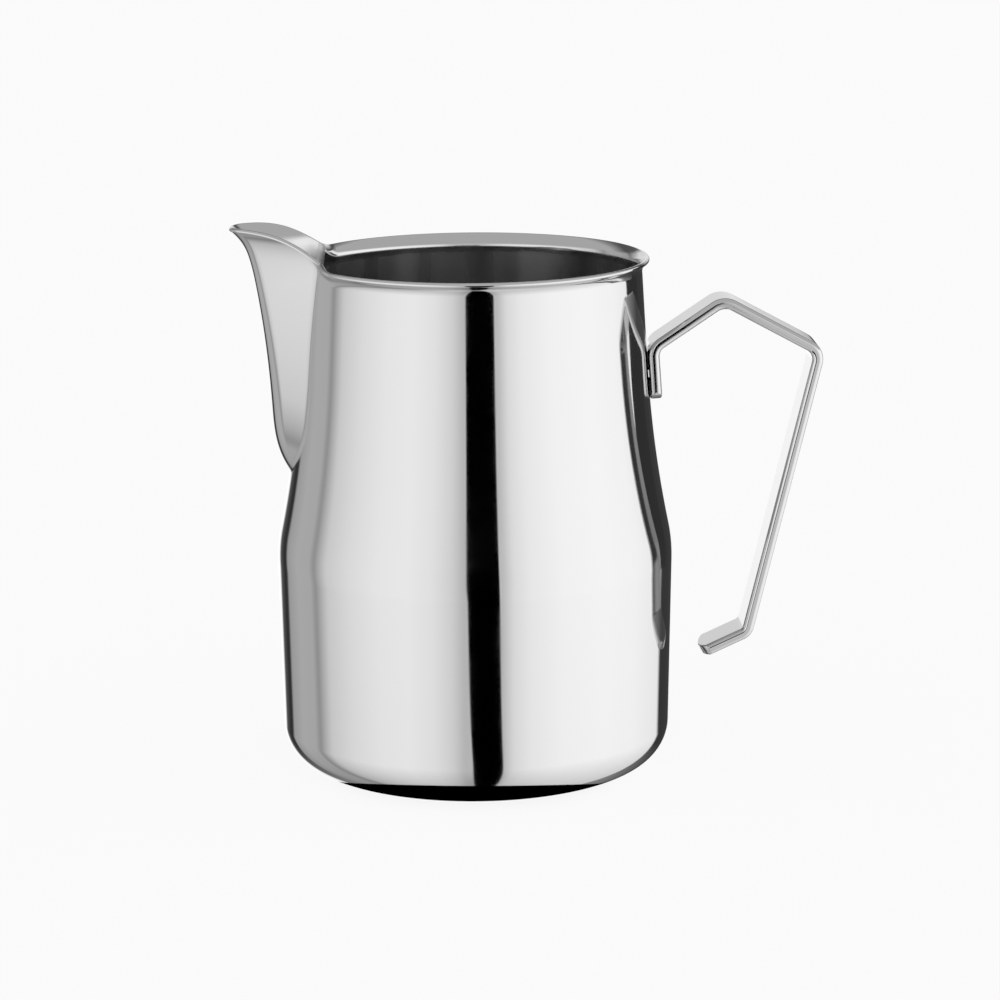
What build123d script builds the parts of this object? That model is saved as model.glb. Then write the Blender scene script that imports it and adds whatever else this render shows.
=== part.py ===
from build123d import *
import os
from math import asin, atan2, cos, degrees, hypot, radians, sin, sqrt, tan

# Milk frothing pitcher of polished stainless steel, in millimetres.
# The origin is the centre of the base, +Z is up, the handle points to +X and the spout to -X.

# ---- driving sizes: cup ----
rim_height = 109.0          # top of the lip
belly_diameter = 84.0       # widest outside diameter
shoulder_height = 48.3      # where the line of the flank reaches the belly's width
waist_height = 69.1         # sharp corner where the flank turns up into the neck
waist_stand_out = 2.22      # that corner's radius beyond the neck's
neck_diameter = 71.1        # outside, at the lip's bend
wall = 1.0                  # sheet thickness of cup and spout
wall_lean = 1.1             # degrees, the belly opens upward
foot_radius = 9.0           # outside bend between base and belly
shoulder_radius = 33.0      # outside bend of the shoulder
neck_bend_radius = 240.0    # long hollow curve from shoulder to neck, at most
lip_drop = 1.8              # the sharp corner of the lip's bend is this far below the rim
lip_angle = 58.0            # degrees from upright at the lip's edge
lip_radius = 2.4            # outside bend of the lip
edge_round = 0.35           # rounding of the lip's edge
bend_limit = 0.98           # share of the flank that the hollow curve may take up

# ---- driving sizes: spout ----
# sections from the root up: height above the rim, reach beyond the neck, half angle in degrees,
# outside radius along the keel
spout_sections = [
    (-50.0, -0.6, 60.0, 12.0),
    (-45.2, 3.5, 57.0, 12.0),
    (-40.0, 6.0, 54.5, 12.0),
    (-31.0, 7.2, 50.0, 10.5),
    (-17.0, 8.4, 43.0, 8.3),
    (-6.0, 10.0, 40.0, 7.0),
    (0.0, 11.3, 38.5, 6.5),
    (4.0, 13.2, 38.0, 6.2),
    (7.0, 16.4, 38.3, 6.0),
    (9.5, 20.0, 38.5, 6.0),
]
spout_half_width = 19.0     # where its flanks end, inside the cup, before they are trimmed
# side view of the pouring edge: reach beyond the neck, height above the rim
spout_edge = [(-9.0, -4.5), (-4.6, 0.0), (-1.6, 2.4), (4.4, 5.7), (12.8, 7.1), (21.0, 4.4)]

# ---- driving sizes: weld seam ----
seam_crown = 0.3            # height of the ground bead over the joint

# ---- driving sizes: handle ----
bar_width = 11.0
bar_thickness = 2.3
bar_edge_round = 0.9
tab_height = 83.5           # middle of the tab
tab_below = 5.3             # from the tab's middle down to its end
wall_gap = 0.09             # from the tab's end to the neck, on the middle line
# corners of the bar's outer face: outward from the tab or the belly, upward from the tab's middle
arm_peak = (15.5, 17.5)     # outward from the tab
arm_shoulder = (37.3, 5.7)  # outward from the tab
leg_heel = (17.0, -56.5)    # outward from the belly, so that the toe stays clear of it
arm_rise = 33.8             # degrees above level, from the neck to the peak
toe_drop = 24.5             # degrees below level, from the heel towards the cup
toe_length = 11.3
tab_bend_radius = 4.5
peak_bend_radius = 5.0
shoulder_bend_radius = 4.5
heel_bend_radius = 3.6
end_crown = 1.7             # the middle of each bar end stands this far past its corners
trim_margin = 2.0           # the cut that crowns an end reaches this far past the bar

# ---- driving sizes: spot welds ----
nugget_diameter = 4.0
nugget_depth = 0.5          # into the neck and into the tab
nugget_spacing = 5.6

# ---- sizes worked out from the above ----
belly_radius = belly_diameter / 2
neck_radius = neck_diameter / 2
waist_radius = neck_radius + waist_stand_out
lip_bend = rim_height - lip_drop
flank_lean = degrees(atan2(belly_radius - waist_radius, waist_height - shoulder_height))
neck_lean = degrees(atan2(waist_stand_out, lip_bend - waist_height))


def shoulder_corner():
    """Sharp corner of belly and flank, set so that the rounded shoulder is belly_radius wide."""
    lean_in, lean_out = radians(flank_lean), radians(wall_lean)
    stand_out = shoulder_radius * (cos((lean_in - lean_out) / 2) / cos((lean_in + lean_out) / 2) - 1)
    return belly_radius + stand_out, shoulder_height - stand_out / tan(lean_in)


def waist_bend():
    """Radius of the hollow bend, limited by the flank's length, and its tangent length."""
    corner_radius, corner_height = shoulder_corner()
    flank = hypot(corner_radius - waist_radius, waist_height - corner_height)
    free = flank - shoulder_radius * tan(radians(flank_lean + wall_lean) / 2)
    half_turn = radians(flank_lean - neck_lean) / 2
    radius = min(neck_bend_radius, bend_limit * free / tan(half_turn))
    return radius, radius * tan(half_turn)


def neck_wall(height):
    """Outside radius and lean, in degrees, of flank and neck at a height."""
    bend_radius, tangent = waist_bend()
    flank, neck = radians(flank_lean), radians(neck_lean)
    if height > waist_height + tangent * cos(neck):
        return neck_radius + (lip_bend - height) * tan(neck), neck_lean
    if height < waist_height - tangent * cos(flank):
        return waist_radius + (waist_height - height) * tan(flank), flank_lean
    centre_distance = bend_radius / cos((flank - neck) / 2)
    centre_radius = waist_radius + centre_distance * cos((flank + neck) / 2)
    drop = waist_height + centre_distance * sin((flank + neck) / 2) - height
    return centre_radius - sqrt(bend_radius**2 - drop**2), degrees(asin(drop / bend_radius))


def lip_corner():
    """End of the lip's outer face, set so that its rounded edge reaches rim_height."""
    lean = radians(lip_angle)
    rounding = edge_round * (1 - sin(lean) - cos(lean))
    height = rim_height - wall * sin(lean) - rounding
    return neck_radius + (height - lip_bend) * tan(lean), height


def cup_outline():
    """Outer face of the cup's wall, from the centre of the base to the lip, in the XZ plane."""
    corner_radius, corner_height = shoulder_corner()
    foot = corner_radius - corner_height * tan(radians(wall_lean))
    waist = (waist_radius, waist_height)
    corners = [(0, 0), (foot, 0), shoulder_corner(), waist, (neck_radius, lip_bend), lip_corner()]
    radii = [foot_radius, shoulder_radius, waist_bend()[0], lip_radius]
    return Plane.XZ * FilletPolyline(*corners, radius=radii)


def filled_cup():
    """The cup's outer shape as one solid, up to the rim."""
    outline = cup_outline()
    edge = outline @ 1
    closing = Polyline(edge, (edge.X, 0, rim_height), (0, 0, rim_height), (0, 0, 0))
    return revolve(make_face([outline, closing]), Axis.Z)


def plain_shell():
    """The whole drawn cup, before the notch for the spout."""
    shell = revolve(make_face(offset(cup_outline(), amount=wall, side=Side.RIGHT)), Axis.Z)
    lip_edges = shell.edges().filter_by(GeomType.CIRCLE).sort_by(Axis.Z)[-2:]
    return fillet(lip_edges, edge_round)


def spout_wedge(inset):
    """The spout's shape as one solid, moved inwards from its outer face by inset."""
    sections = []
    for above_rim, reach, half_angle, nose_radius in spout_sections:
        turn = radians(half_angle)
        nose = nose_radius - inset
        centre = nose_radius - neck_radius - reach
        touch_x, touch_y = centre - nose * sin(turn), nose * cos(turn)
        end_x = touch_x + (spout_half_width - touch_y) / tan(turn)
        outline = [
            Line((end_x, -spout_half_width), (touch_x, -touch_y)),
            ThreePointArc((touch_x, -touch_y), (centre - nose, 0), (touch_x, touch_y)),
            Line((touch_x, touch_y), (end_x, spout_half_width)),
            Line((end_x, spout_half_width), (end_x, -spout_half_width)),
        ]
        sections.append(Pos(0, 0, rim_height + above_rim) * make_face(outline))
    return loft(sections)


def above_spout_edge():
    """Everything over the pouring edge, as a block to cut away."""
    points = [(-neck_radius - reach, rim_height + above_rim) for reach, above_rim in spout_edge]
    edge = Spline(*points)
    top = rim_height + spout_sections[-1][0] + 1
    closing = Polyline(edge @ 1, (points[-1][0], top), (points[0][0], top), edge @ 0)
    return extrude(Plane.XZ * make_face([edge, closing]), 2 * spout_half_width, both=True)


def weld_seam():
    """The ground bead over the joint of spout and neck, along both flanks and round the root."""
    skin = revolve(make_face(offset(cup_outline(), amount=seam_crown, side=Side.LEFT)), Axis.Z)
    return (skin & spout_wedge(-seam_crown)) - spout_wedge(0) - above_spout_edge()


def tab_stand_off():
    """From the tab's middle to the neck: the straight tab spans the neck's hollow."""
    return wall_gap + tab_below**2 / (2 * waist_bend()[0])


def tab_frame():
    """Plane in the tab's neck side at the tab's middle: X up along the bar, Z away from the neck."""
    radius, lean = neck_wall(tab_height)
    tilt = radians(lean)
    outward = (cos(tilt), 0, sin(tilt))
    origin = (radius + tab_stand_off() * cos(tilt), 0, tab_height + tab_stand_off() * sin(tilt))
    return Plane(origin, x_dir=(-sin(tilt), 0, cos(tilt)), z_dir=outward)


def bar_path():
    """Outer face of the bent bar in the XZ plane, from the tab's end to the toe's end."""
    frame = tab_frame()
    start = frame.origin
    end = start - frame.x_dir * tab_below
    peak = (start.X + arm_peak[0], start.Z + arm_peak[1])
    shoulder = (start.X + arm_shoulder[0], start.Z + arm_shoulder[1])
    heel = (belly_radius + leg_heel[0], start.Z + leg_heel[1])
    rise, drop = radians(arm_rise), radians(toe_drop)
    # the tab's line meets the arm's line
    lean = frame.x_dir.X / frame.x_dir.Z
    root_height = (peak[1] - (peak[0] - start.X + start.Z * lean) * tan(rise)) / (1 - lean * tan(rise))
    root = (start.X + (root_height - start.Z) * lean, root_height)
    toe = (heel[0] - toe_length * cos(drop), heel[1] - toe_length * sin(drop))
    corners = [(end.X, end.Z), root, peak, shoulder, heel, toe]
    radii = [tab_bend_radius, peak_bend_radius, shoulder_bend_radius, heel_bend_radius]
    return Plane.XZ * FilletPolyline(*corners, radius=radii)


def end_trim(path, position, backwards):
    """What to cut from a bar end to leave it crowned: a block past the end, less a round."""
    crown_radius = (bar_width**2 / 4 + end_crown**2) / (2 * end_crown)
    along = (path % position) * (-1 if backwards else 1)
    frame = Plane(path @ position, x_dir=along, z_dir=along.cross(Vector(0, 1, 0)))
    depth = 2 * (bar_thickness + trim_margin)
    length = end_crown + trim_margin
    width = bar_width + 2 * trim_margin
    block = Box(length, width, depth, align=(Align.MIN, Align.CENTER, Align.CENTER))
    round_end = Pos(-crown_radius, 0, 0) * Cylinder(crown_radius, depth)
    return frame * (Pos(-end_crown, 0, 0) * block - round_end)


def bent_bar():
    """The handle before its spot welds: a flat bar with rounded long edges, bent and crowned."""
    path = bar_path()
    inward = Vector(0, 1, 0).cross(path % 0)
    section_plane = Plane(path @ 0 + inward * bar_thickness / 2, x_dir=(0, 1, 0), z_dir=path % 0)
    section = section_plane * RectangleRounded(bar_width, bar_thickness, bar_edge_round)
    bar = sweep(section, path=path)
    return bar - end_trim(path, 0, True) - end_trim(path, 1, False)


def nuggets():
    """The fused metal of the spot welds, from inside the tab to inside the neck's wall."""
    length = 2 * nugget_depth + tab_stand_off()
    lens = Pos(0, 0, -tab_stand_off() - nugget_depth) * Cylinder(
        nugget_diameter / 2, length, align=(Align.CENTER, Align.CENTER, Align.MIN)
    )
    places = [-nugget_spacing / 2, nugget_spacing / 2]
    return Compound([tab_frame() * Pos(place, 0, 0) * lens for place in places])


def write_part(name, shape):
    """Write one named piece to its own file."""
    shape.label = name
    export_step(shape, f"parts/{name}.step")


os.makedirs("parts", exist_ok=True)
spot_welds = nuggets()
write_part("body_shell", plain_shell() - spout_wedge(wall) - spot_welds)
write_part("spout", spout_wedge(0) - spout_wedge(wall) - filled_cup() - above_spout_edge())
write_part("spout_weld_seam", weld_seam())
write_part("handle", bent_bar() - spot_welds)
write_part("handle_spot_welds", spot_welds)
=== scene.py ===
import math

import bmesh
import bpy
import numpy as np
from mathutils import Matrix


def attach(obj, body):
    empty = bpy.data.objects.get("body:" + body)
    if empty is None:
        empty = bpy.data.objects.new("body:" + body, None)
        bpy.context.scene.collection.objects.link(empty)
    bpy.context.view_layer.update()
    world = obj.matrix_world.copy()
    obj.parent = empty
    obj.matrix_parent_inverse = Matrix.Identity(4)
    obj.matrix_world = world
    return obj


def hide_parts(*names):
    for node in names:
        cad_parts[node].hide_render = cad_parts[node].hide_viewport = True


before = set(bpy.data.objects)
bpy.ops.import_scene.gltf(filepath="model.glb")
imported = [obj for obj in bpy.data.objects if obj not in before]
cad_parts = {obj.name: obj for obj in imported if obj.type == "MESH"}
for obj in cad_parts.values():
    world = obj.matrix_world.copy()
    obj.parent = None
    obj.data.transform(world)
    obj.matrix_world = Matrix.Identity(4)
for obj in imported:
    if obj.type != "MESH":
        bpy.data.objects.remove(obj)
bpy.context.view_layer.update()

# ============================================================================================
# Sizes in millimetres, nearly all the CAD model's own, and its frame: +Z up, handle +X, spout -X.
# ============================================================================================
MM = 0.001

RIM_HEIGHT = 109.0
BELLY_RADIUS = 42.0
NECK_RADIUS = 35.55
SHOULDER_HEIGHT = 48.3
WAIST_HEIGHT = 69.1
WAIST_STAND_OUT = 2.22
WALL = 1.0
WALL_LEAN = math.radians(1.1)
FOOT_RADIUS = 9.0
SHOULDER_RADIUS = 33.0
WAIST_RADIUS = 240.0
LIP_DROP = 1.8
LIP_ANGLE = math.radians(58)
LIP_RADIUS = 2.4
LIP_FADE = math.radians(19), math.radians(37)   # angles from the keel between which the lip fades in
EDGE_ROUND = 0.42           # height of the half-round edge of lip and pouring edge
EDGE_BLEND = 1.8            # how softly the pouring edge runs into the lip's edge

# height above the rim, reach beyond the neck, half angle of the flanks, radius along the keel
SPOUT_SECTIONS = np.array([
    (-50.0, -0.6, 60.0, 12.0),
    (-45.2, 3.5, 57.0, 12.0),
    (-40.0, 6.0, 54.5, 12.0),
    (-31.0, 7.2, 50.0, 10.5),
    (-17.0, 8.4, 43.0, 8.3),
    (-6.0, 10.0, 40.0, 7.0),
    (0.0, 11.3, 38.5, 6.5),
    (4.0, 13.2, 38.0, 6.2),
    (7.0, 16.4, 38.3, 6.0),
    (9.5, 20.0, 38.5, 6.0),
])
# side view of the pouring edge: reach beyond the neck, height above the rim
SPOUT_EDGE = np.array([
    (-9.0, -4.5), (-4.6, 0.0), (-1.6, 2.4), (4.4, 5.7), (12.8, 7.1), (16.4, 7.0), (21.0, 6.2),
])
SEAM_HALF_WIDTH = 1.0
SEAM_ROOT = 55.0, 75.0      # heights between which the seam's root lies
BLEND = 0.35                # how softly spout and neck run together

# fineness of the meshes
JOINT_ROWS = 84             # rows from the spout's root to the lip
OUTLINE_STEP = 1.4          # longest step along the cup's outline
ARC_STEP = math.radians(5)  # largest turn in one step
EDGE_STEPS = 8              # steps round a half-round edge
END_STEPS = 6               # rings round the edge of a bar's end
BAR_STEP = 3.0              # longest step along the bar
SECTION_STEP = 0.6          # longest step round its section

# handle: a flat bar, its corners given on its outer side as outward and upward from the tab's middle
BAR_WIDTH = 11.0
BAR_THICKNESS = 2.3
BAR_EDGE_ROUND = 0.9
TAB_HEIGHT = 83.5
TAB_BELOW = 5.3
WALL_GAP = 0.04             # from the tab to the neck
ARM_PEAK = np.array([15.5, 17.5])
ARM_SHOULDER = np.array([37.3, 5.7])
LEG_HEEL = (17.0, -56.5)    # outward from the belly
ARM_RISE = math.radians(33.8)
TOE_DROP = math.radians(24.5)
TOE_LENGTH = 11.3
BEND_RADII = [4.5, 5.0, 4.5, 3.6]
END_CROWN = 1.7             # how far a bar's end bulges in the middle
END_ROUND = 0.35

# worked out
WAIST = NECK_RADIUS + WAIST_STAND_OUT
LIP_BEND = RIM_HEIGHT - LIP_DROP
FLANK_LEAN = math.atan2(BELLY_RADIUS - WAIST, WAIST_HEIGHT - SHOULDER_HEIGHT)
NECK_LEAN = math.atan2(WAIST_STAND_OUT, LIP_BEND - WAIST_HEIGHT)


# ============================================================================================
# Outline of the cup
# ============================================================================================
def rounded_outline(corners, radii, step):
    """Points and right-hand normals along straight runs joined by tangent arcs."""
    corners = [np.array(c, float) for c in corners]
    points, normals = [], []

    def add(point, normal):
        if not points or np.hypot(*(point - points[-1])) > 1e-6:
            points.append(point)
            normals.append(normal)

    def run(start, end):
        along = (end - start) / np.hypot(*(end - start))
        normal = np.array([along[1], -along[0]])
        count = max(1, int(np.hypot(*(end - start)) / step))
        for share in np.linspace(0, 1, count + 1):
            add(start + share * (end - start), normal)

    start = corners[0]
    for before, corner, after, radius in zip(corners, corners[1:], corners[2:], radii):
        arrive = (corner - before) / np.hypot(*(corner - before))
        leave = (after - corner) / np.hypot(*(after - corner))
        turn = math.atan2(arrive[0] * leave[1] - arrive[1] * leave[0], arrive @ leave)
        tangent = radius * math.tan(abs(turn) / 2)
        touch = corner - tangent * arrive
        run(start, touch)
        side = math.copysign(1, turn)
        centre = touch + side * radius * np.array([-arrive[1], arrive[0]])
        count = max(2, int(abs(turn) / ARC_STEP), int(abs(turn) * radius / step))
        for share in np.linspace(0, 1, count + 1)[1:]:
            angle = turn * share
            turned = np.array([
                arrive[0] * math.cos(angle) - arrive[1] * math.sin(angle),
                arrive[0] * math.sin(angle) + arrive[1] * math.cos(angle),
            ])
            normal = np.array([turned[1], -turned[0]])
            add(centre + side * radius * normal, normal)
        start = corner + tangent * leave
    run(start, corners[-1])
    return np.array(points), np.array(normals)


def lip_edge_height():
    """Height where the lip's outer face ends and its rounded edge begins."""
    across, along = WALL / 2 * math.sin(LIP_ANGLE), EDGE_ROUND * math.cos(LIP_ANGLE)
    return RIM_HEIGHT - across - math.hypot(across, along)


def shoulder_corner():
    """Sharp corner of belly and flank."""
    half_turn, middle = (FLANK_LEAN - WALL_LEAN) / 2, (FLANK_LEAN + WALL_LEAN) / 2
    stand_out = SHOULDER_RADIUS * (math.cos(half_turn) / math.cos(middle) - 1)
    return BELLY_RADIUS + stand_out, SHOULDER_HEIGHT - stand_out / math.tan(FLANK_LEAN)


def waist_bend():
    """Centre of the hollow bend and the heights of its two ends."""
    tangent = WAIST_RADIUS * math.tan((FLANK_LEAN - NECK_LEAN) / 2)
    reach = WAIST_RADIUS / math.cos((FLANK_LEAN - NECK_LEAN) / 2)
    middle = (FLANK_LEAN + NECK_LEAN) / 2
    centre = WAIST + reach * math.cos(middle), WAIST_HEIGHT + reach * math.sin(middle)
    low = WAIST_HEIGHT - tangent * math.cos(FLANK_LEAN)
    high = WAIST_HEIGHT + tangent * math.cos(NECK_LEAN)
    return centre, low, high


def neck_radius(height):
    """Outside radius of flank and neck at a height, without the lip."""
    (centre_radius, centre_height), low, high = waist_bend()
    flank = WAIST + (WAIST_HEIGHT - height) * math.tan(FLANK_LEAN)
    neck = NECK_RADIUS + (LIP_BEND - height) * math.tan(NECK_LEAN)
    drop = np.clip(centre_height - height, -WAIST_RADIUS, WAIST_RADIUS)
    bend = centre_radius - np.sqrt(WAIST_RADIUS**2 - drop**2)
    return np.where(height < low, flank, np.where(height > high, neck, bend))


# ============================================================================================
# The spout's field: how far from the cup's axis the outer face lies, all round and at any height
# ============================================================================================
def smooth_curve(knots, values):
    """A natural cubic spline through the knots, as a function."""
    knots, values = np.asarray(knots, float), np.asarray(values, float)
    gap, rise = np.diff(knots), np.diff(values)
    matrix = np.eye(len(knots))
    right = np.zeros(len(knots))
    for i in range(1, len(knots) - 1):
        matrix[i, i - 1:i + 2] = gap[i - 1], 2 * (gap[i - 1] + gap[i]), gap[i]
        right[i] = 6 * (rise[i] / gap[i] - rise[i - 1] / gap[i - 1])
    bend = np.linalg.solve(matrix, right)

    def curve(x):
        i = np.clip(np.searchsorted(knots, x) - 1, 0, len(gap) - 1)
        a, b = knots[i + 1] - x, x - knots[i]
        cubic = (bend[i] * a**3 + bend[i + 1] * b**3) / (6 * gap[i])
        line_a = (values[i] / gap[i] - bend[i] * gap[i] / 6) * a
        line_b = (values[i + 1] / gap[i] - bend[i + 1] * gap[i] / 6) * b
        return cubic + line_a + line_b

    return curve


keel_reach = smooth_curve(SPOUT_SECTIONS[:, 0], SPOUT_SECTIONS[:, 1])
flank_angle = smooth_curve(SPOUT_SECTIONS[:, 0], np.radians(SPOUT_SECTIONS[:, 2]))
keel_radius = smooth_curve(SPOUT_SECTIONS[:, 0], SPOUT_SECTIONS[:, 3])
edge_height = smooth_curve(SPOUT_EDGE[:, 0], SPOUT_EDGE[:, 1])


def smooth_max(a, b, width):
    """The larger of two, rounded where they cross."""
    overlap = np.maximum(width - np.abs(a - b), 0)
    return np.maximum(a, b) + overlap**2 / (4 * width)


def fade(x, low, high):
    """0 below low, 1 above high, smooth in between."""
    share = np.clip((x - low) / (high - low), 0, 1)
    return share**3 * (share * (share * 6 - 15) + 10)


def spout_radius(angle, height):
    """Distance from the axis to the spout's outer face, at an angle from the keel."""
    angle = np.abs(angle)
    above = np.clip(height - RIM_HEIGHT, SPOUT_SECTIONS[0, 0], SPOUT_SECTIONS[-1, 0])
    turn, round_nose = flank_angle(above), keel_radius(above)
    centre = NECK_RADIUS + keel_reach(above) - round_nose
    touch = np.arctan2(round_nose * np.cos(turn), centre + round_nose * np.sin(turn))
    inside = np.maximum(round_nose**2 - (centre * np.sin(angle))**2, 0)
    nose = centre * np.cos(angle) + np.sqrt(inside)
    line = centre * np.sin(turn) + round_nose
    flank = line / np.sin(np.minimum(turn + angle, math.pi / 2))
    return np.where(angle < touch, nose, flank)


def plain_radius(angle, height):
    """The neck and the spout run together, without the lip."""
    return smooth_max(neck_radius(height), spout_radius(angle, height), BLEND)


def edge_line(angle):
    """Height of the outer edge of lip and pouring edge, where their rounding begins."""
    small, rounds = 0.01, 40
    height = np.full(np.shape(angle), lip_edge_height())
    for _ in range(rounds):
        radius = plain_radius(angle, height)
        slope = (plain_radius(angle, height + small) - plain_radius(angle, height - small)) / (2 * small)
        turn = plain_radius(angle + small, height) - plain_radius(angle - small, height)
        turn = turn / (2 * small * radius)
        facing_down = slope / np.sqrt(1 + slope**2 + turn**2)
        rounding = WALL / 2 * facing_down + np.hypot(WALL / 2 * facing_down, EDGE_ROUND)
        reach = np.clip(radius * np.cos(angle) - NECK_RADIUS, SPOUT_EDGE[0, 0], SPOUT_EDGE[-1, 0])
        edge = RIM_HEIGHT + edge_height(reach) - rounding
        height = 0.5 * height + 0.5 * smooth_max(lip_edge_height(), edge, EDGE_BLEND)
    return height


EDGE_ANGLES = np.radians(np.linspace(-60, 60, 601))     # past these the edge is the plain lip's
edge_curve = smooth_curve(EDGE_ANGLES, edge_line(EDGE_ANGLES))


def top_height(angle):
    """The same line, read from a curve through enough of its points."""
    return edge_curve(np.minimum(np.abs(angle), EDGE_ANGLES[-1]))


def lip_flare(below_top):
    """How far the lip stands out, by the distance below its edge."""
    arc_height = LIP_RADIUS * math.sin(LIP_ANGLE)
    above_bend = lip_edge_height() - LIP_BEND - below_top + LIP_RADIUS * math.tan(LIP_ANGLE / 2)
    along = np.clip(above_bend, 0, arc_height)
    straight = np.maximum(above_bend - arc_height, 0) * math.tan(LIP_ANGLE)
    return LIP_RADIUS - np.sqrt(LIP_RADIUS**2 - along**2) + straight


TOP_LEVEL = lip_edge_height()
STRETCH = 86, TOP_LEVEL     # the levels over which the rows spread out to follow the pouring edge


def height_of(angle, level):
    """Height at an angle of the row that lies at this level on the plain side."""
    return level + (top_height(angle) - TOP_LEVEL) * fade(level, *STRETCH)


def surface(angle, level):
    """Point of the outer face. angle runs from the keel, level is the height on the plain side."""
    height = height_of(angle, level)
    lip = lip_flare(top_height(angle) - height) * fade(np.abs(angle), *LIP_FADE)
    radius = plain_radius(angle, height) + lip
    return np.stack([-radius * np.cos(angle), radius * np.sin(angle), height], -1)


def surface_with_normal(angle, level):
    """Points, unit normals and unit directions up the sheet."""
    small = 1e-4
    lower = np.minimum(level, TOP_LEVEL - small)
    point = surface(angle, level)
    across = surface(angle + small, level) - surface(angle - small, level)
    upward = surface(angle, lower + small) - surface(angle, lower - small)
    normal = np.cross(upward, across)
    normal /= np.linalg.norm(normal, axis=-1, keepdims=True)
    upward = np.cross(across, normal)
    upward /= np.linalg.norm(upward, axis=-1, keepdims=True)
    return point, normal, upward


# ============================================================================================
# Meshes from grids
# ============================================================================================
class Sheet:
    """A piece of sheet metal: an outer and an inner face with exact normals, and rounded or cut edges."""

    def __init__(self):
        self.points, self.normals, self.faces = [], [], []
        self.outer, self.inner = [], []

    def place(self, points, normals, kind):
        """Adds a row: open, a ring whose last point is its first, or a single point."""
        count = len(points)
        first = len(self.points)
        kept = {"open": count, "ring": count - 1, "point": 1}[kind]
        self.points.extend(points[:kept])
        self.normals.extend(normals[:kept])
        return [first + (i if i < kept else 0) for i in range(count)]

    def add_row(self, points, normals, kind="open"):
        self.outer.append(self.place(points, normals, kind))
        self.inner.append(self.place(points - WALL * normals, -normals, kind))

    def face(self, *corners):
        ring = [v for k, v in enumerate(corners) if v != corners[k - 1]]
        if len(set(ring)) >= 3:
            self.faces.append(ring)

    def bridge(self, low, high):
        for a, b, c, d in zip(low, low[1:], high[1:], high):
            self.face(a, b, c, d)

    def round_edge(self, points, normals, upward, low, high):
        """A half-round edge from the row low on the outer face to the row high on the inner face."""
        centre = points - WALL / 2 * normals
        rows = [low]
        for angle in np.linspace(0, math.pi, EDGE_STEPS + 1)[1:-1]:
            across, along = math.cos(angle), math.sin(angle)
            bulge = across * WALL / 2 * normals + along * EDGE_ROUND * upward
            facing = across / (WALL / 2) * normals + along / EDGE_ROUND * upward
            facing /= np.linalg.norm(facing, axis=-1, keepdims=True)
            kind = "ring" if low[0] == low[-1] else "open"
            rows.append(self.place(centre + bulge, facing, kind))
        rows.append(high)
        for a, b in zip(rows, rows[1:]):
            self.bridge(a, b)
        self.face(*[row[0] for row in rows])
        self.face(*[row[-1] for row in rows])

    def close(self):
        """Joins the rows of both faces, and the two cut sides where the rows are open."""
        for rows in (self.outer, self.inner):
            for low, high in zip(rows, rows[1:]):
                self.bridge(low, high)
        for out_low, out_high, in_low, in_high in zip(self.outer, self.outer[1:], self.inner, self.inner[1:]):
            if out_high[0] != out_high[-1] or out_low[0] != out_low[-1]:
                self.face(out_low[0], out_high[0], in_high[0], in_low[0])
                self.face(out_low[-1], out_high[-1], in_high[-1], in_low[-1])

    def make(self, name):
        """The finished piece. Its faces that lie wholly on the inner sheet get the second material."""
        mesh = bpy.data.meshes.new(name)
        mesh.from_pydata((np.array(self.points) * MM).tolist(), [], self.faces)
        inner = {v for row in self.inner for v in row}
        mesh.polygons.foreach_set("material_index", [int(inner.issuperset(face)) for face in self.faces])
        face_outwards(mesh)
        mesh.normals_split_custom_set_from_vertices(np.array(self.normals).tolist())
        return linked(name, mesh)


def face_outwards(mesh):
    """Turns every face of a closed mesh to the outside and shades it smooth."""
    solid = bmesh.new()
    solid.from_mesh(mesh)
    bmesh.ops.recalc_face_normals(solid, faces=solid.faces)
    solid.to_mesh(mesh)
    solid.free()
    mesh.shade_smooth()


def linked(name, data):
    """An object with this data, in the scene."""
    made = bpy.data.objects.new(name, data)
    bpy.context.scene.collection.objects.link(made)
    return made


# ============================================================================================
# The joint of spout and neck, as a line in angle and level
# ============================================================================================
def solve(low, high, positive):
    """Halves the span until it holds where positive() turns false. low and high are arrays."""
    halvings = 45
    for _ in range(halvings):
        middle = (low + high) / 2
        good = positive(middle)
        low, high = np.where(good, middle, low), np.where(good, high, middle)
    return (low + high) / 2


def crease_line(count):
    """The joint from its root to the lip, the direction across it, and the share of its length."""
    low, high = (np.array(height) for height in SEAM_ROOT)
    root = float(solve(high, low, lambda z: spout_radius(0.0, z) > neck_radius(z)))
    fine, widest = 600, math.radians(50)
    levels = root + (TOP_LEVEL - root) * np.linspace(0, 1, fine)**2

    def in_spout(angle):
        height = height_of(angle, levels)
        return spout_radius(angle, height) > neck_radius(height)

    angles = solve(np.zeros_like(levels), np.full_like(levels, widest), in_spout)
    angles[0] = 0
    line = np.stack([angles * NECK_RADIUS, levels], 1)
    length = np.concatenate([[0], np.cumsum(np.hypot(*np.diff(line, axis=0).T))])
    # the rows crowd towards the lip, where the shape changes fastest
    even = length[-1] * (1 - (1 - np.linspace(0, 1, count))**1.4)
    line = np.stack([np.interp(even, length, line[:, 0]), np.interp(even, length, line[:, 1])], 1)
    along = np.gradient(line, even, axis=0)
    along[0] = 1, 0
    along /= np.linalg.norm(along, axis=1, keepdims=True)
    side = np.stack([along[:, 1], -along[:, 0]], 1)
    return line, side, even / even[-1]


def joint_rows(count):
    """Gives a function: angles and levels of the line that runs at a distance beside the joint."""
    line, side, share = crease_line(count)

    def beside(distance):
        points = line + distance * side
        # every such line ends level with the edge
        points[:, 1] += (TOP_LEVEL - points[-1, 1]) * share**6
        points[0, 0] = 0
        return points[:, 0] / NECK_RADIUS, points[:, 1]

    return beside


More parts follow.
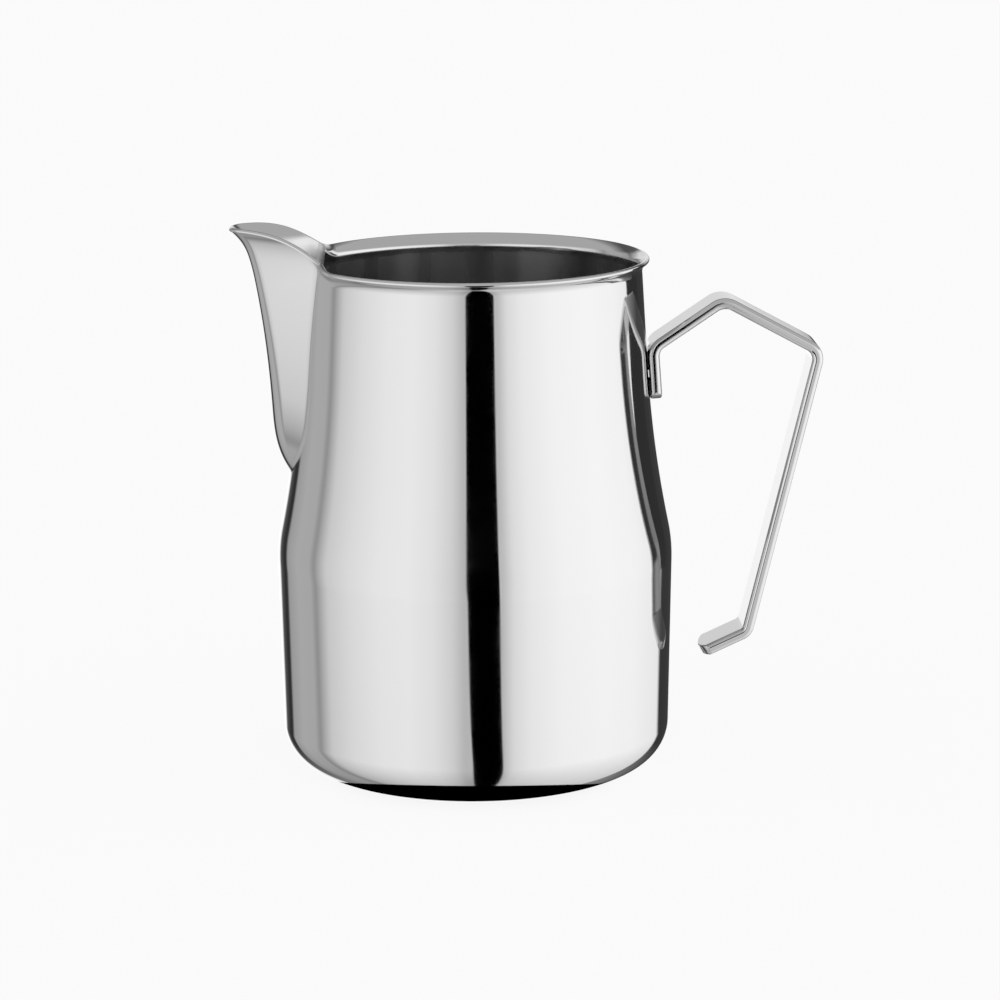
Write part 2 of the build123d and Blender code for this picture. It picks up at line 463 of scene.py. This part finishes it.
def cup_body(beside, columns=130):
    """The drawn cup: base, foot, belly, shoulder, neck and lip, with the notch for the spout."""
    sheet = Sheet()
    share = np.linspace(0, 1, columns + 1)
    notch_angle, notch_level = beside(SEAM_HALF_WIDTH)
    shoulder = shoulder_corner()
    foot = shoulder[0] - shoulder[1] * math.tan(WALL_LEAN)
    outline, facing = rounded_outline(
        [(0, 0), (foot, 0), shoulder, (WAIST, WAIST_HEIGHT), (NECK_RADIUS, LIP_BEND)],
        [FOOT_RADIUS, SHOULDER_RADIUS, WAIST_RADIUS],
        OUTLINE_STEP,
    )
    full = np.linspace(0, 2 * math.pi, 2 * columns + 1)
    for (radius, height), (out, up) in zip(outline, facing):
        if height > notch_level[0] - OUTLINE_STEP / 2:
            break
        points = np.stack([-radius * np.cos(full), radius * np.sin(full), np.full_like(full, height)], 1)
        normals = np.stack([-out * np.cos(full), out * np.sin(full), np.full_like(full, up)], 1)
        sheet.add_row(points, normals, "point" if radius == 0 else "ring")
    # above the notch's root the rows run from one side of the notch round the back to the other
    # their columns crowd towards the notch and their levels follow its two sides
    half = math.pi * share + notch_angle[:, None] * (1 - share)**3
    plain_level = np.linspace(0, 1, len(notch_level))**0.8 * (TOP_LEVEL - notch_level[0]) + notch_level[0]
    level = plain_level[:, None] + (notch_level - plain_level)[:, None] * (1 - share)**6
    angles = np.concatenate([half, -half[:, -2::-1]], 1)
    levels = np.concatenate([level, level[:, -2::-1]], 1)
    points, normals, upward = surface_with_normal(angles, levels)
    for row, start in enumerate(notch_angle):
        sheet.add_row(points[row], normals[row], "ring" if start == 0 else "open")
    sheet.round_edge(points[-1], normals[-1], upward[-1], sheet.outer[-1], sheet.inner[-1])
    sheet.close()
    return sheet.make("cup_body")


def pouring_spout(beside, columns=64):
    """The pressed spout, from its root to the pouring edge."""
    sheet = Sheet()
    half, level = beside(-SEAM_HALF_WIDTH)
    angles = half[:, None] * np.linspace(-1, 1, 2 * columns + 1)
    points, normals, upward = surface_with_normal(angles, np.broadcast_to(level[:, None], angles.shape))
    for row, width in enumerate(half):
        sheet.add_row(points[row], normals[row], "point" if width == 0 else "open")
    sheet.round_edge(points[-1], normals[-1], upward[-1], sheet.outer[-1], sheet.inner[-1])
    sheet.close()
    return sheet.make("pouring_spout")


def spout_seam(beside, columns=8):
    """The weld between them: a narrow band down one side, round the root and up the other."""
    sheet = Sheet()
    bands = [beside(side) for side in np.linspace(-SEAM_HALF_WIDTH, SEAM_HALF_WIDTH, columns + 1)]
    angles, levels = np.array(bands).transpose(1, 2, 0)
    angles = np.concatenate([-angles[::-1], angles[1:]])
    levels = np.concatenate([levels[::-1], levels[1:]])
    points, normals, upward = surface_with_normal(angles, levels)
    for row in range(len(points)):
        sheet.add_row(points[row], normals[row])
    for end in (0, -1):
        sheet.round_edge(points[end], normals[end], upward[end], sheet.outer[end], sheet.inner[end])
    sheet.close()
    return sheet.make("spout_seam")


# ============================================================================================
# Nodes
# ============================================================================================
def add(tree, kind, inputs=None, **settings):
    """Adds a node with its settings, its input values and its links, and returns it."""
    made = tree.nodes.new(kind)
    for name, value in settings.items():
        setattr(made, name, value)
    for name, value in (inputs or {}).items():
        if isinstance(value, bpy.types.NodeSocket):
            tree.links.new(value, made.inputs[name])
        else:
            made.inputs[name].default_value = value
    return made


def maths(tree, operation, *values):
    """A Math node's output."""
    return add(tree, "ShaderNodeMath", dict(enumerate(values)), operation=operation).outputs[0]


def vectors(tree, operation, *values):
    """A Vector Math node's output. Its scale is the node's fourth input."""
    inputs = {(3 if operation == "SCALE" and k == 1 else k): value for k, value in enumerate(values)}
    made = add(tree, "ShaderNodeVectorMath", inputs, operation=operation)
    return made.outputs["Value" if operation == "DOT_PRODUCT" else "Vector"]


# ============================================================================================
# Handle: a flat bar swept along its bends by Geometry Nodes
# ============================================================================================
def tab_line():
    """Point on the tab's face towards the neck, level with its middle, and the direction up it."""
    small = 0.01
    lean = math.atan((neck_radius(TAB_HEIGHT - small) - neck_radius(TAB_HEIGHT + small)) / (2 * small))
    stand_off = WALL_GAP + TAB_BELOW**2 / (2 * WAIST_RADIUS)
    radius = float(neck_radius(TAB_HEIGHT))
    middle = np.array([radius + stand_off * math.cos(lean), TAB_HEIGHT + stand_off * math.sin(lean)])
    return middle, np.array([-math.sin(lean), math.cos(lean)])


def bar_corners():
    """Sharp corners of the bar's outer side, radius and height, from the tab's end to the toe's end."""
    middle, up = tab_line()
    peak, shoulder = middle + ARM_PEAK, middle + ARM_SHOULDER
    heel = np.array([BELLY_RADIUS + LEG_HEEL[0], middle[1] + LEG_HEEL[1]])
    rise = np.array([math.cos(ARM_RISE), math.sin(ARM_RISE)])
    # the tab's line meets the arm's line
    along_tab, _ = np.linalg.solve(np.stack([up, -rise], 1), peak - middle)
    toe = heel - TOE_LENGTH * np.array([math.cos(TOE_DROP), math.sin(TOE_DROP)])
    return [middle - TAB_BELOW * up, middle + along_tab * up, peak, shoulder, heel, toe]


def moved_right(corners, distance):
    """The same run of lines moved to its right-hand side."""
    corners = [np.array(c) for c in corners]
    lines = []
    for a, b in zip(corners, corners[1:]):
        along = (b - a) / np.hypot(*(b - a))
        lines.append((a + distance * np.array([along[1], -along[0]]), along))
    moved = [lines[0][0]]
    for (a, along_a), (b, along_b) in zip(lines, lines[1:]):
        share, _ = np.linalg.solve(np.stack([along_a, -along_b], 1), b - a)
        moved.append(a + share * along_a)
    last, along = lines[-1]
    moved.append(last + along * np.hypot(*(corners[-1] - corners[-2])))
    return moved


def end_rings():
    """Rings that round a bar end: distance from the end, share of thickness, share of width, crown."""
    closing, past_round = 0.002, 0.1
    # the first ring lies just past the end and closes it, the next ones follow its rounded edge
    rings = [(-closing, 0.0, 1 - END_ROUND / (BAR_WIDTH / 2), 1)]
    for turn in np.linspace(math.pi / 2, 0, END_STEPS):
        inset = END_ROUND * (1 - math.cos(turn))
        thin, narrow = 1 - inset / (BAR_THICKNESS / 2), 1 - inset / (BAR_WIDTH / 2)
        rings.append((END_ROUND * (1 - math.sin(turn)), thin, narrow, 1))
    rings.append((END_ROUND + past_round, 1, 1, 1))
    rings.append((2 * END_CROWN, 1, 1, 0))
    return rings


def chain(name, points, closed=False, **values):
    """A line of points as a mesh, with a value per point under each name."""
    count = len(points)
    mesh = bpy.data.meshes.new(name)
    edges = [(i, (i + 1) % count) for i in range(count if closed else count - 1)]
    mesh.from_pydata([tuple(p) for p in points], edges, [])
    for key, numbers in values.items():
        mesh.attributes.new(key, "FLOAT", "POINT").data.foreach_set("value", numbers)
    return linked(name, mesh)


def bar_line():
    """The middle line of the bar, with the rings that shape its two ends."""
    corners = moved_right(bar_corners(), BAR_THICKNESS / 2)
    radii = [radius - BAR_THICKNESS / 2 for radius in BEND_RADII]
    line, _ = rounded_outline(corners, radii, BAR_STEP)
    rings = end_rings()
    first = (line[1] - line[0]) / np.hypot(*(line[1] - line[0]))
    last = (line[-2] - line[-1]) / np.hypot(*(line[-2] - line[-1]))
    clear = rings[-1][0] + 0.5
    inner = [p for p in line if min(np.hypot(*(p - line[0])), np.hypot(*(p - line[-1]))) > clear]
    points = [line[0] + ring[0] * first for ring in rings] + inner
    points += [line[-1] + ring[0] * last for ring in reversed(rings)]
    ones, zeros = [1.0] * len(inner), [0.0] * len(inner)
    thin = [ring[1] for ring in rings] + ones + [ring[1] for ring in reversed(rings)]
    narrow = [ring[2] for ring in rings] + ones + [ring[2] for ring in reversed(rings)]
    crown = [-float(ring[3]) for ring in rings] + zeros + [float(ring[3]) for ring in reversed(rings)]
    places = [(radius * MM, 0, height * MM) for radius, height in points]
    return chain("bar_line", places, thin=thin, narrow=narrow, crown=crown)


def bar_section():
    """Cross-section of the bar, rounded along its edges, across in X and through in Y."""
    w, t = BAR_WIDTH / 2, BAR_THICKNESS / 2
    corners = [(0, -t), (w, -t), (w, t), (-w, t), (-w, -t), (0, -t)]
    outline, _ = rounded_outline(corners, [BAR_EDGE_ROUND] * 4, SECTION_STEP)
    return chain("bar_section", [(x * MM, y * MM, 0) for x, y in outline[:-1]], closed=True)


def swept_bar_tree():
    """Sweeps the section along the line, shapes the two ends and sets the material."""
    tree = bpy.data.node_groups.new("swept_bar", "GeometryNodeTree")
    face = tree.interface
    face.new_socket("Line", in_out="INPUT", socket_type="NodeSocketGeometry")
    face.new_socket("Section", in_out="INPUT", socket_type="NodeSocketObject")
    for name in ("Width", "End Crown"):
        face.new_socket(name, in_out="INPUT", socket_type="NodeSocketFloat")
    face.new_socket("Material", in_out="INPUT", socket_type="NodeSocketMaterial")
    face.new_socket("Bar", in_out="OUTPUT", socket_type="NodeSocketGeometry")
    given = tree.nodes.new("NodeGroupInput").outputs

    def value_of(name):
        return add(tree, "GeometryNodeInputNamedAttribute", {"Name": name}, data_type="FLOAT").outputs[0]

    line = add(tree, "GeometryNodeMeshToCurve", {"Mesh": given["Line"]}).outputs[0]
    upright = {"Curve": line, "Normal": (0, 1, 0)}
    line = add(tree, "GeometryNodeSetCurveNormal", upright, mode="FREE").outputs[0]
    middle = add(tree, "GeometryNodeCaptureAttribute", {"Geometry": line})
    middle.capture_items.new("VECTOR", "Middle")
    middle.capture_items.new("VECTOR", "Along")
    tree.links.new(add(tree, "GeometryNodeInputPosition").outputs[0], middle.inputs["Middle"])
    tree.links.new(add(tree, "GeometryNodeInputTangent").outputs[0], middle.inputs["Along"])
    outline = add(tree, "GeometryNodeObjectInfo", {"Object": given["Section"]}).outputs["Geometry"]
    outline = add(tree, "GeometryNodeMeshToCurve", {"Mesh": outline}).outputs[0]
    swept = {"Curve": middle.outputs[0], "Profile Curve": outline}
    bar = add(tree, "GeometryNodeCurveToMesh", swept).outputs[0]

    # each ring about its own middle: across is along Y, the rest is through the thickness
    here = add(tree, "GeometryNodeInputPosition").outputs[0]
    from_middle = vectors(tree, "SUBTRACT", here, middle.outputs["Middle"])
    across = add(tree, "ShaderNodeSeparateXYZ", {0: from_middle}).outputs["Y"]
    sideways = add(tree, "ShaderNodeCombineXYZ", {"Y": across}).outputs[0]
    through = vectors(tree, "SUBTRACT", from_middle, sideways)
    shaped = vectors(tree, "ADD", vectors(tree, "SCALE", sideways, value_of("narrow")),
                     vectors(tree, "SCALE", through, value_of("thin")))
    # the crown is an arc over the bar's width
    crown = given["End Crown"]
    half = maths(tree, "MULTIPLY", given["Width"], 0.5)
    squares = maths(tree, "ADD", maths(tree, "MULTIPLY", half, half), maths(tree, "MULTIPLY", crown, crown))
    crown_radius = maths(tree, "DIVIDE", squares, maths(tree, "MULTIPLY", crown, 2.0))
    offset = maths(tree, "MULTIPLY", across, value_of("narrow"))
    radius_squared = maths(tree, "MULTIPLY", crown_radius, crown_radius)
    chord = maths(tree, "SUBTRACT", radius_squared, maths(tree, "MULTIPLY", offset, offset))
    chord = maths(tree, "SQRT", chord)
    drop = maths(tree, "MULTIPLY", maths(tree, "SUBTRACT", crown_radius, chord), value_of("crown"))
    shaped = vectors(tree, "SUBTRACT", shaped, vectors(tree, "SCALE", middle.outputs["Along"], drop))
    place = vectors(tree, "ADD", middle.outputs["Middle"], shaped)
    bar = add(tree, "GeometryNodeSetPosition", {"Geometry": bar, "Position": place}).outputs[0]
    bar = add(tree, "GeometryNodeMergeByDistance", {"Geometry": bar, "Distance": 1e-6}).outputs[0]
    bar = add(tree, "GeometryNodeSetShadeSmooth", {0: bar}).outputs[0]
    bar = add(tree, "GeometryNodeRealizeInstances", {"Geometry": bar}).outputs[0]
    bar = add(tree, "GeometryNodeSetMaterial", {"Geometry": bar, "Material": given["Material"]}).outputs[0]
    tree.links.new(bar, tree.nodes.new("NodeGroupOutput").inputs[0])
    return tree


def handle_bar(material):
    """The bent bar as a plain mesh."""
    line, section = bar_line(), bar_section()
    modifier = line.modifiers.new("swept_bar", "NODES")
    modifier.node_group = swept_bar_tree()
    sizes = {"Section": section, "Width": BAR_WIDTH * MM, "End Crown": END_CROWN * MM, "Material": material}
    for item in modifier.node_group.interface.items_tree:
        if item.name in sizes:
            modifier[item.identifier] = sizes[item.name]
    evaluated = line.evaluated_get(bpy.context.evaluated_depsgraph_get())
    mesh = bpy.data.meshes.new_from_object(evaluated)
    line.modifiers.clear()
    for helper in (line, section):
        bpy.data.objects.remove(helper)
    face_outwards(mesh)
    return linked("handle_bar", mesh)


# ============================================================================================
# Materials
# ============================================================================================
def linear(hex_colour):
    """sRGB hex to linear colour."""
    parts = [int(hex_colour[i:i + 2], 16) / 255 for i in (1, 3, 5)]
    return [p / 12.92 if p <= 0.04045 else ((p + 0.055) / 1.055)**2.4 for p in parts] + [1]


def per_mm(size):
    """Texture scale for features of this size in millimetres."""
    return 1 / (size * MM)


def metal(name, colour, roughness):
    """A bare metal with its shader, and the coordinates its patterns use."""
    material = bpy.data.materials.new(name)
    material.use_nodes = True
    tree = material.node_tree
    shader = tree.nodes["Principled BSDF"]
    shader.inputs["Base Color"].default_value = linear(colour)
    shader.inputs["Metallic"].default_value = 1
    shader.inputs["Roughness"].default_value = roughness
    place = add(tree, "ShaderNodeTexCoord").outputs["Object"]
    return material, tree, shader, place


def mirror_polished_steel():
    """Deep-drawn 18/10 stainless steel, buffed to a mirror: crisp reflections that sway a little."""
    material, tree, shader, place = metal("mirror_polished_stainless_steel", "#CECECE", 0.05)
    # drawing and buffing leave swells some 30 mm long and a few hundredths of a millimetre high
    swell = add(tree, "ShaderNodeTexNoise", {"Vector": place, "Scale": per_mm(30), "Detail": 1.0})
    swell = add(tree, "ShaderNodeBump", {"Height": swell.outputs[0], "Distance": 0.02 * MM, "Strength": 1.0})
    # the buffing wheel runs round the cup: lines 0.5 mm apart, drawn coarser than they are
    lines = add(tree, "ShaderNodeMapping", {"Vector": place, "Scale": (per_mm(40), per_mm(40), per_mm(0.5))})
    lines = add(tree, "ShaderNodeTexNoise", {"Vector": lines.outputs[0], "Scale": 1.0, "Detail": 2.0})
    lines = add(tree, "ShaderNodeBump", {"Height": lines.outputs[0], "Distance": 0.0002 * MM, "Strength": 1.0,
                                         "Normal": swell.outputs[0]})
    tree.links.new(lines.outputs[0], shader.inputs["Normal"])
    # wiping leaves areas about 12 mm wide a little less bright
    haze = add(tree, "ShaderNodeTexNoise", {"Vector": place, "Scale": per_mm(12), "Detail": 4.0})
    haze = add(tree, "ShaderNodeMapRange", {"Value": haze.outputs[0], "From Min": 0.35, "From Max": 0.75,
                                            "To Min": 0.04, "To Max": 0.085})
    tree.links.new(haze.outputs[0], shader.inputs["Roughness"])
    return material


def satin_polished_steel(name, satin_below, mirror_above):
    """The sheet's inner side: a mirror at the mouth, where the buffing wheel reaches, satin below it."""
    material, tree, shader, place = metal(name, "#CACACA", 0.3)
    height = add(tree, "ShaderNodeSeparateXYZ", {0: place}).outputs["Z"]
    # the mandrel leaves upright bands some 9 mm wide, a little smoother and rougher by turns
    bands = add(tree, "ShaderNodeMapping", {"Vector": place, "Scale": (per_mm(9), per_mm(9), per_mm(300))})
    bands = add(tree, "ShaderNodeTexNoise", {"Vector": bands.outputs[0], "Scale": 1.0, "Detail": 1.0})
    rough = ramped(tree, bands.outputs[0], 0.35, 0.65, 0.22, 0.36)
    mirror = ramped(tree, height, satin_below * MM, mirror_above * MM, 0.0, 1.0)
    finish = add(tree, "ShaderNodeMix", {0: mirror, 2: rough, 3: 0.09}).outputs[0]
    tree.links.new(finish, shader.inputs["Roughness"])
    # sanding marks run round the cup, drawn 0.6 mm apart, which is coarser than they are
    lines = add(tree, "ShaderNodeMapping", {"Vector": place, "Scale": (per_mm(30), per_mm(30), per_mm(0.6))})
    lines = add(tree, "ShaderNodeTexNoise", {"Vector": lines.outputs[0], "Scale": 1.0, "Detail": 2.0})
    lines = add(tree, "ShaderNodeBump", {"Height": lines.outputs[0], "Distance": 0.001 * MM, "Strength": 1.0})
    tree.links.new(lines.outputs[0], shader.inputs["Normal"])
    return material


def ground_weld_steel(name, roughness):
    """Weld metal ground flush: as bright as the sheet but softer, with fine grinding lines."""
    material, tree, shader, place = metal(name, "#CBCBCB", roughness)
    lines = add(tree, "ShaderNodeMapping", {"Vector": place, "Scale": (per_mm(0.4), per_mm(0.4), per_mm(6))})
    lines = add(tree, "ShaderNodeTexNoise", {"Vector": lines.outputs[0], "Scale": 1.0, "Detail": 2.0})
    bump = add(tree, "ShaderNodeBump", {"Height": lines.outputs[0], "Distance": 0.0012 * MM, "Strength": 1.0})
    tree.links.new(bump.outputs[0], shader.inputs["Normal"])
    return material


def polished_bar_steel():
    """Cold-rolled stainless flat bar, bent and belt-polished: bright, with faint lines along it."""
    material, tree, shader, place = metal("polished_stainless_bar", "#CDCDCD", 0.08)
    swell = add(tree, "ShaderNodeTexNoise", {"Vector": place, "Scale": per_mm(9), "Detail": 1.0})
    swell = add(tree, "ShaderNodeBump", {"Height": swell.outputs[0], "Distance": 0.008 * MM, "Strength": 1.0})
    lines = add(tree, "ShaderNodeMapping", {"Vector": place, "Scale": (per_mm(14), per_mm(0.35), per_mm(14))})
    lines = add(tree, "ShaderNodeTexNoise", {"Vector": lines.outputs[0], "Scale": 1.0, "Detail": 2.0})
    lines = add(tree, "ShaderNodeBump", {"Height": lines.outputs[0], "Distance": 0.0008 * MM, "Strength": 1.0,
                                         "Normal": swell.outputs[0]})
    tree.links.new(lines.outputs[0], shader.inputs["Normal"])
    return material


def fused_weld_steel():
    """Resistance-welded steel that melted and set: dull grey with a straw and blue heat tint."""
    material, tree, shader, place = metal("fused_spot_weld", "#6F6C67", 0.5)
    tint = add(tree, "ShaderNodeTexNoise", {"Vector": place, "Scale": per_mm(2), "Detail": 2.0})
    ramp = add(tree, "ShaderNodeValToRGB", {0: tint.outputs[0]})
    ramp.color_ramp.elements[0].position, ramp.color_ramp.elements[0].color = 0.35, linear("#55565E")
    ramp.color_ramp.elements[1].position, ramp.color_ramp.elements[1].color = 0.65, linear("#7C7261")
    tree.links.new(ramp.outputs[0], shader.inputs["Base Color"])
    bump = add(tree, "ShaderNodeBump", {"Height": tint.outputs[0], "Distance": 0.01 * MM, "Strength": 1.0})
    tree.links.new(bump.outputs[0], shader.inputs["Normal"])
    return material


# ============================================================================================
# Studio
# ============================================================================================
# Brightness round the object at its own height. Azimuth in degrees from the front (-Y), + towards the
# handle. Big white boxes stand left and right, a lit backdrop behind, with dark gaps between them.
STUDIO_RING = [
    (-180, 1.25), (-165, 1.15), (-160, 0.12), (-150, 0.035), (-146, 0.05), (-143, 0.46), (-128, 0.60),
    (-114, 0.60), (-109, 0.42), (-104, 0.66), (-98, 0.92), (-80, 1.12), (-60, 1.26), (-42, 1.30),
    (-27, 1.20), (-16, 1.00), (-9, 0.75), (14, 0.80), (20, 1.12), (30, 1.29), (50, 1.42),
    (80, 1.47), (105, 1.42), (125, 1.28), (135, 1.20), (139, 0.05), (154, 0.05), (170, 0.06),
    (177, 0.3), (180, 1.2),
]
BRIGHTEST = 1.6             # more than any of them, so that the ramp can hold them as shares
OVERHEAD = 0.62             # brightness of the ceiling in front and above
BACK_OVERHEAD = 0.12        # and of its part behind
BACKDROP_STRIP = 0.9        # brightness of the backdrop above the horizon
TABLE = 0.3                 # least brightness of the table near the object
FOOT_OF_BOXES = 0.66        # what the boxes' feet keep of their brightness

# where these begin and end, as elevations in radians
BOX_FEET = math.radians(-62), math.radians(-14)
TABLE_FADE = math.radians(-48), math.radians(-18)
STRIP_FADE = math.radians(-3), 0.0
CEILING_FADE = math.radians(14), math.radians(20)
# where these begin and end on the way to the back, as the +Y part of the direction
STRIP_SIDES = math.cos(math.radians(40)), math.cos(math.radians(12))
BACK_CEILING = 0.5, 0.75

GAP_DISTANCE = 500.0        # from the cup's front to the gap between the boxes
GAP_EDGES = (-7.5, 12.0)    # azimuths of the gap's two sides, seen from the cup's front
GAP_TOP = 160.0


def ramped(tree, value, low, high, start, end):
    """A value that runs from start to end while the given one runs from low to high."""
    return add(tree, "ShaderNodeMapRange", {"Value": value, "From Min": low, "From Max": high,
                                            "To Min": start, "To Max": end}).outputs[0]


def studio():
    """The light: a world that only reflections and the floor see; the camera sees plain white."""
    world = bpy.data.worlds.new("studio")
    bpy.context.scene.world = world
    world.use_nodes = True
    tree = world.node_tree
    sky = tree.nodes["Background"]
    view = add(tree, "ShaderNodeTexCoord").outputs["Generated"]
    x, y, z = add(tree, "ShaderNodeSeparateXYZ", {0: view}).outputs
    azimuth = maths(tree, "ARCTAN2", x, maths(tree, "MULTIPLY", y, -1.0))
    share = maths(tree, "MULTIPLY_ADD", azimuth, 1 / (2 * math.pi), 0.5)
    ring = add(tree, "ShaderNodeValToRGB", {0: share})
    stops = ring.color_ramp.elements
    for number, (degrees, brightness) in enumerate(STUDIO_RING):
        position = degrees / 360 + 0.5
        stop = stops[number] if number < 2 else stops.new(position)
        stop.position = position
        stop.color = [brightness / BRIGHTEST] * 3 + [1]
    elevation = maths(tree, "ARCSINE", z)
    # the boxes grow dimmer towards their feet, and the table is never quite dark
    lower = ramped(tree, elevation, *BOX_FEET, FOOT_OF_BOXES, 1.0)
    light = maths(tree, "MULTIPLY", maths(tree, "MULTIPLY", ring.outputs[0], BRIGHTEST), lower)
    table = ramped(tree, elevation, *TABLE_FADE, TABLE, 0.0)
    light = maths(tree, "MAXIMUM", light, table)
    # a lighter strip of the backdrop shows above the horizon
    behind = ramped(tree, y, *STRIP_SIDES, 0.0, 1.0)
    strip = maths(tree, "MULTIPLY", behind, ramped(tree, elevation, *STRIP_FADE, 0.0, 1.0))
    light = add(tree, "ShaderNodeMix", {0: strip, 2: light, 3: BACKDROP_STRIP}).outputs[0]
    # above the boxes is the ceiling, darker at the back
    ceiling = ramped(tree, elevation, *CEILING_FADE, 0.0, 1.0)
    overhead = ramped(tree, y, *BACK_CEILING, OVERHEAD, BACK_OVERHEAD)
    light = add(tree, "ShaderNodeMix", {0: ceiling, 2: light, 3: overhead}).outputs[0]
    seen = add(tree, "ShaderNodeLightPath").outputs["Is Camera Ray"]
    light = add(tree, "ShaderNodeMix", {0: seen, 2: light, 3: 1.0}).outputs[0]
    tree.links.new(light, sky.inputs["Color"])


def card(name, corners, brightness=0.0):
    """A flat card that only reflections see, given by its corners in millimetres."""
    mesh = bpy.data.meshes.new(name)
    mesh.from_pydata([(x * MM, y * MM, z * MM) for x, y, z in corners], [], [tuple(range(len(corners)))])
    made = linked(name, mesh)
    for kind in ("camera", "diffuse", "shadow", "transmission"):
        setattr(made, "visible_" + kind, False)
    material = bpy.data.materials.new(name)
    material.use_nodes = True
    tree = material.node_tree
    glow = add(tree, "ShaderNodeEmission", {"Strength": brightness})
    tree.links.new(glow.outputs[0], tree.nodes["Material Output"].inputs["Surface"])
    mesh.materials.append(material)


def upright_card(name, left, right, low, high, brightness=0.0):
    """A card standing from low to high over the line between two points."""
    corners = [(*left, low), (*right, low), (*right, high), (*left, high)]
    card(name, corners, brightness)


def front_gap():
    """The dark gap between the boxes, where the camera stands, and its image down to the cup's foot."""
    far, near = -GAP_DISTANCE - BELLY_RADIUS, -72.0
    table, low, deep = -0.3, -8.0, -90.0
    far_left, far_right = ((GAP_DISTANCE * math.tan(math.radians(edge)), far) for edge in GAP_EDGES)
    near_left, near_right = (-4.5, near), (11.4, near)
    upright_card("front_gap", far_left, far_right, low, GAP_TOP)
    card("gap_on_the_table", [(*place, table) for place in (near_left, near_right, far_right, far_left)])
    upright_card("gap_at_the_foot", near_left, near_right, deep, table)


def side_flag():
    """A dark flag behind the handle: it darkens the side of the neck and flank that faces the handle."""
    upright_card("side_flag", (281, 152), (204, 230), -25, 150, brightness=0.04)


def contact_shadow():
    """The dark patch in front, where the foot's curve overhangs the table, as the foot mirrors it."""
    radius, left, forward, table, steps = 29.1, 1.2, 14.2, -0.1, 96
    turns = np.linspace(0, 2 * math.pi, steps + 1)[:-1]
    rim = [(radius * math.cos(t) - left, radius * math.sin(t) - forward, table) for t in turns]
    card("contact_shadow", rim)


def floor():
    """A plain pale floor that the mirror finish doesn't see."""
    half, below = 12.0, -0.0002
    mesh = bpy.data.meshes.new("floor")
    corners = [(-half, -half, 0), (half, -half, 0), (half, half, 0), (-half, half, 0)]
    mesh.from_pydata(corners, [], [(0, 1, 2, 3)])
    made = linked("floor", mesh)
    made.location.z = below
    made.visible_glossy = False
    material = bpy.data.materials.new("pale_floor")
    material.use_nodes = True
    shader = material.node_tree.nodes["Principled BSDF"]
    settings = {
        "Base Color": linear("#5A5A5A"),
        "Roughness": 1.0,
        "Specular IOR Level": 0.0,
        "Emission Color": (1, 1, 1, 1),
        "Emission Strength": 0.9,
    }
    for name, value in settings.items():
        shader.inputs[name].default_value = value
    mesh.materials.append(material)


EYE = -0.0269, -0.7475, 0.2190      # metres
HEADING = math.radians(2.475)       # from straight ahead (+Y) towards +X
PITCH = math.radians(12.248)        # downwards
ROLL = math.radians(0.37)
LENS = 129.23                       # focal length for a sensor 36 mm wide


def camera():
    """A long lens, in front of the object and a little above it."""
    data = bpy.data.cameras.new("camera")
    data.sensor_width = 36.0
    data.lens = LENS
    data.clip_start, data.clip_end = 0.01, 40
    eye = linked("camera", data)
    turn = Matrix.Rotation(-HEADING, 4, "Z") @ Matrix.Rotation(math.pi / 2 - PITCH, 4, "X")
    eye.matrix_world = Matrix.Translation(EYE) @ turn @ Matrix.Rotation(-ROLL, 4, "Z")
    bpy.context.scene.camera = eye


# ============================================================================================
# The whole
# ============================================================================================
camera()
studio()
front_gap()
side_flag()
contact_shadow()
floor()
bpy.context.scene.view_settings.view_transform = "Standard"

steel = mirror_polished_steel()
satin = satin_polished_steel("satin_inside_of_the_cup", RIM_HEIGHT - 4.2, RIM_HEIGHT - 2.4)
spout_satin = satin_polished_steel("satin_inside_of_the_spout", RIM_HEIGHT + 1, RIM_HEIGHT + 5)
weld_outside = ground_weld_steel("ground_and_buffed_weld", 0.12)
weld_inside = ground_weld_steel("ground_weld", 0.42)
beside = joint_rows(JOINT_ROWS)
# piece, the CAD node it stands for, its slot, and the materials of its outer and inner faces
# (the bar got its material when it was swept)
pieces = [
    (cup_body(beside), "body_shell", "mirror_polished_steel", [steel, satin]),
    (pouring_spout(beside), "spout", "mirror_polished_steel", [steel, spout_satin]),
    (spout_seam(beside), "spout_weld_seam", "ground_weld", [weld_outside, weld_inside]),
    (handle_bar(polished_bar_steel()), "handle", "polished_bar_steel", []),
]
for piece, node, slot, materials in pieces:
    for material in materials:
        piece.data.materials.append(material)
    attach(piece, "root")
    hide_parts(node)
# the spot welds are the CAD's own solids
spot_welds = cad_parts["handle_spot_welds"]
spot_welds.data.materials.clear()
spot_welds.data.materials.append(fused_weld_steel())
